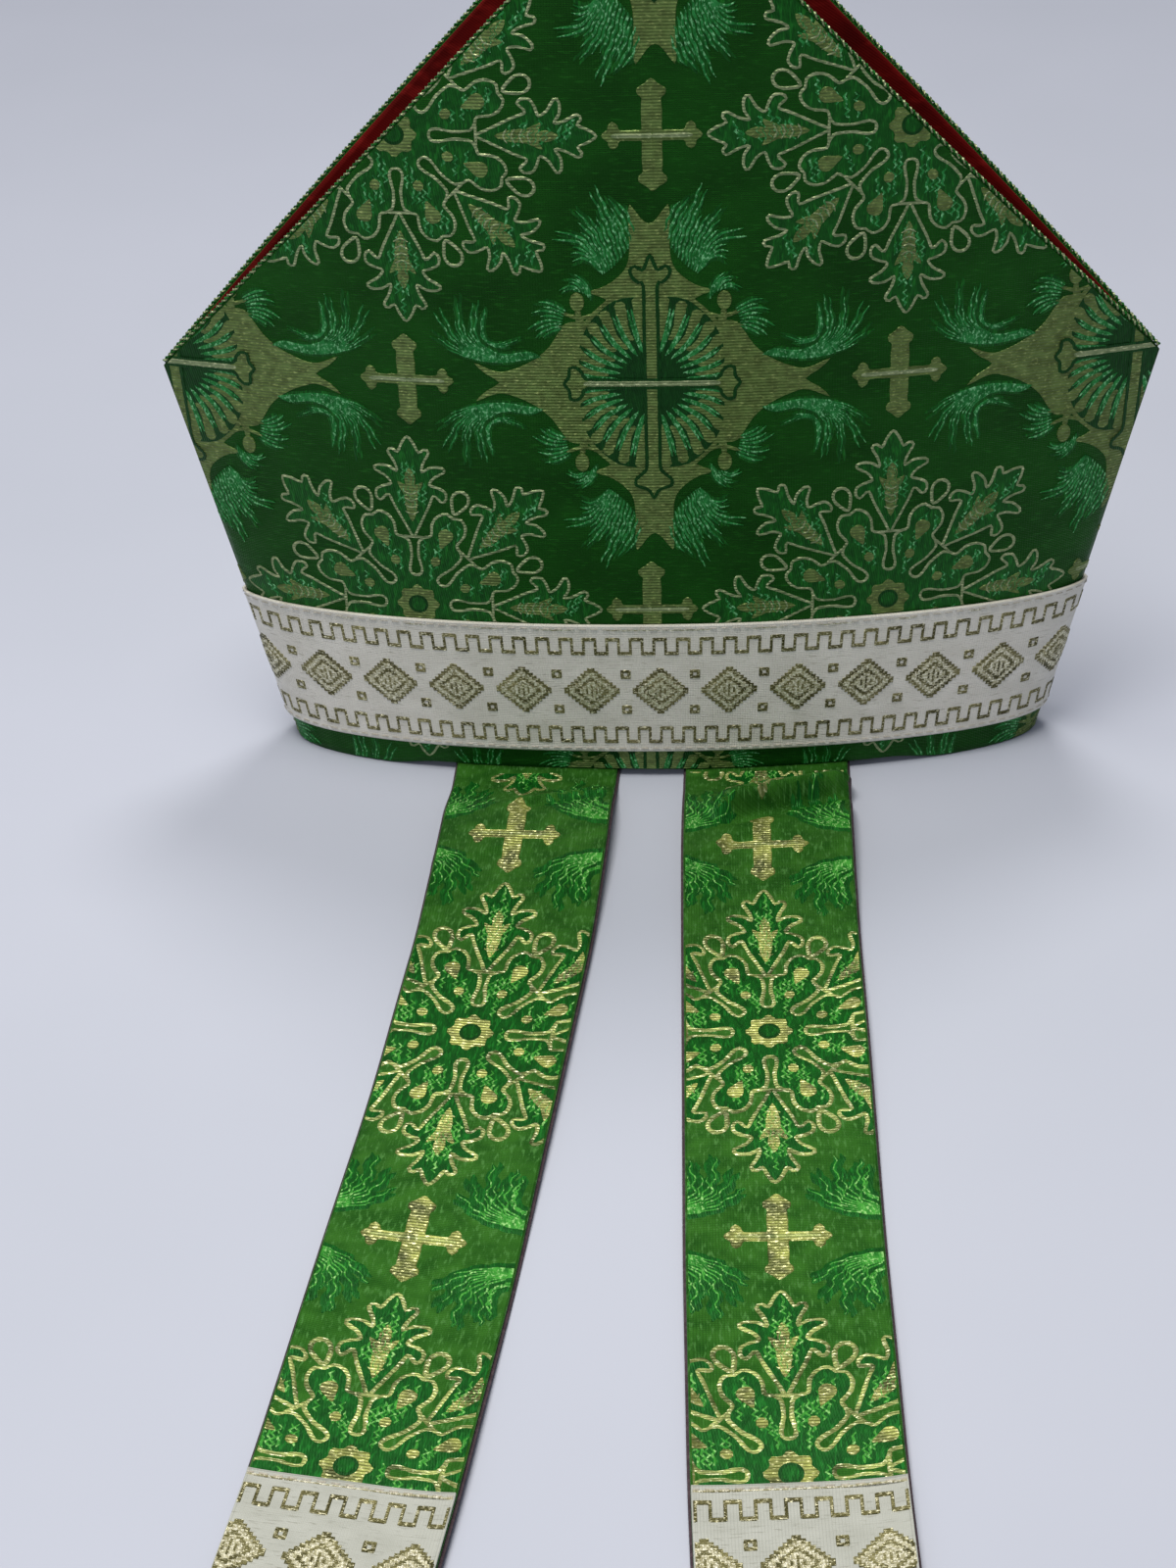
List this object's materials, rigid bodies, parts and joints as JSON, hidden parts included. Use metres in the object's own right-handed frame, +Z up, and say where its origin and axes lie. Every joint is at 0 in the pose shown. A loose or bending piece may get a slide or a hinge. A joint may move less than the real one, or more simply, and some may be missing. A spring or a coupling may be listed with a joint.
{
  "type": "bishop mitre",
  "caption": "Tall folding bishop's mitre of green and gold brocade with a woven band round its base and lappets lying out from its back rim",
  "frame": {"origin": "middle of the floor area that the mitre and its lying lappets cover, on the floor", "axes": "+Z up, +X to the right as seen from behind the mitre, the back of the mitre and its lappets towards -Y"},
  "size_m": [0.342, 0.4582, 0.33],
  "materials": {
    "green_brocade": "satin-ground brocade with gold lurex figure",
    "red_satin": "satin",
    "galloon": "woven ribbon with gold lurex figure",
    "edge_cloth": "matt plain weave"
  },
  "bodies": {
    "root": {"back_panel": "green_brocade", "front_panel": "green_brocade", "horn_lining": "red_satin", "galloon_band": "galloon", "lappet_left": "green_brocade", "lappet_right": "green_brocade", "lappet_lining_left": "edge_cloth", "lappet_lining_right": "edge_cloth", "lappet_galloon_left": "galloon", "lappet_galloon_right": "galloon"}
  },
  "joints": []
}
